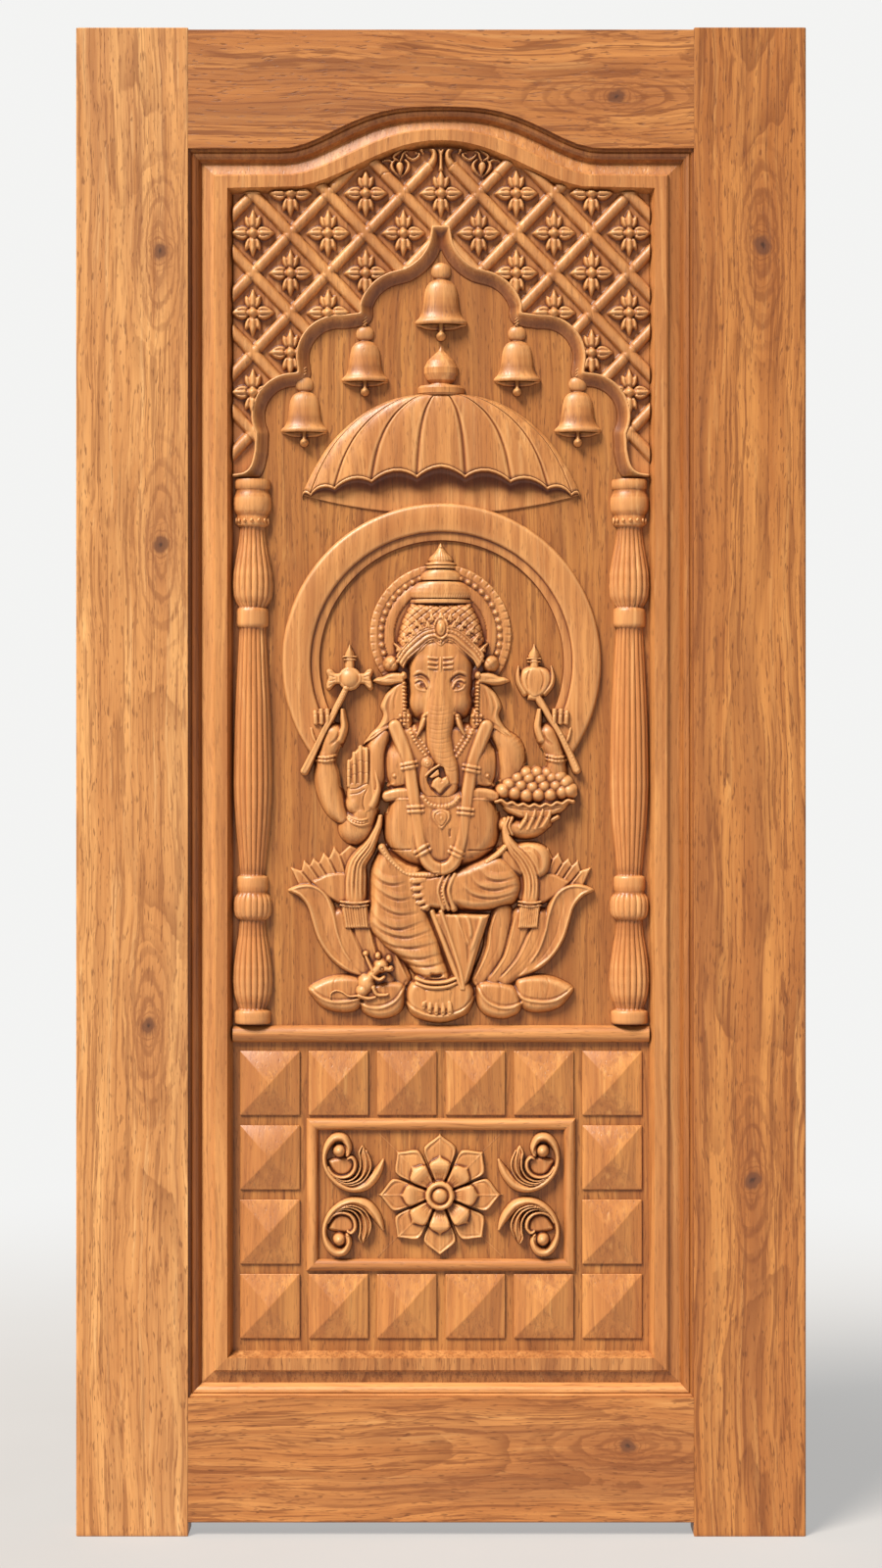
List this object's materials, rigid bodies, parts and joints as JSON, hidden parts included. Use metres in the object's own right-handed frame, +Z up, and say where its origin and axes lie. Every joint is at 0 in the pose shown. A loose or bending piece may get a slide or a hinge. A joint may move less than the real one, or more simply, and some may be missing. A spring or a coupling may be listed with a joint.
{
  "type": "carved temple door",
  "caption": "Framed wooden door leaf with an arched panel, a lattice over a cusped arch, reeded columns, hanging bells and a seated elephant-headed figure on a lotus in relief.",
  "frame": {"origin": "middle of the width and of the thickness, at the foot of the stiles", "axes": "+Z up, the carved face looks along -Y, +X to the right of someone facing the carving"},
  "size_m": [1.016, 0.05, 2.1],
  "materials": {
    "frame_wood": "satin",
    "board_wood": "satin",
    "carved_wood": "satin"
  },
  "bodies": {
    "root": {"left_stile": "frame_wood", "right_stile": "frame_wood", "top_rail": "frame_wood", "bottom_rail": "frame_wood", "panel_board": "board_wood", "bead_left": "carved_wood", "bead_right": "carved_wood", "bead_bottom": "carved_wood", "bead_top": "carved_wood", "border_left": "carved_wood", "border_right": "carved_wood", "border_bottom": "carved_wood", "border_top": "carved_wood", "lattice_spandrel": "carved_wood", "cusped_arch": "carved_wood", "left_column": "carved_wood", "right_column": "carved_wood", "bell_centre": "carved_wood", "bell_inner_left": "carved_wood", "bell_inner_right": "carved_wood", "bell_outer_left": "carved_wood", "bell_outer_right": "carved_wood", "canopy": "carved_wood", "canopy_finial": "carved_wood", "deity_relief": "carved_wood", "bead_rail": "carved_wood", "boss_0_0": "carved_wood", "boss_0_1": "carved_wood", "boss_0_2": "carved_wood", "boss_0_3": "carved_wood", "boss_0_4": "carved_wood", "boss_0_5": "carved_wood", "boss_1_0": "carved_wood", "boss_1_5": "carved_wood", "boss_2_0": "carved_wood", "boss_2_5": "carved_wood", "boss_3_0": "carved_wood", "boss_3_1": "carved_wood", "boss_3_2": "carved_wood", "boss_3_3": "carved_wood", "boss_3_4": "carved_wood", "boss_3_5": "carved_wood", "sunk_bead_left": "carved_wood", "sunk_bead_right": "carved_wood", "sunk_bead_bottom": "carved_wood", "sunk_bead_top": "carved_wood", "rosette": "carved_wood", "scroll_upper_left": "carved_wood", "scroll_upper_right": "carved_wood", "scroll_lower_left": "carved_wood", "scroll_lower_right": "carved_wood"}
  },
  "joints": []
}
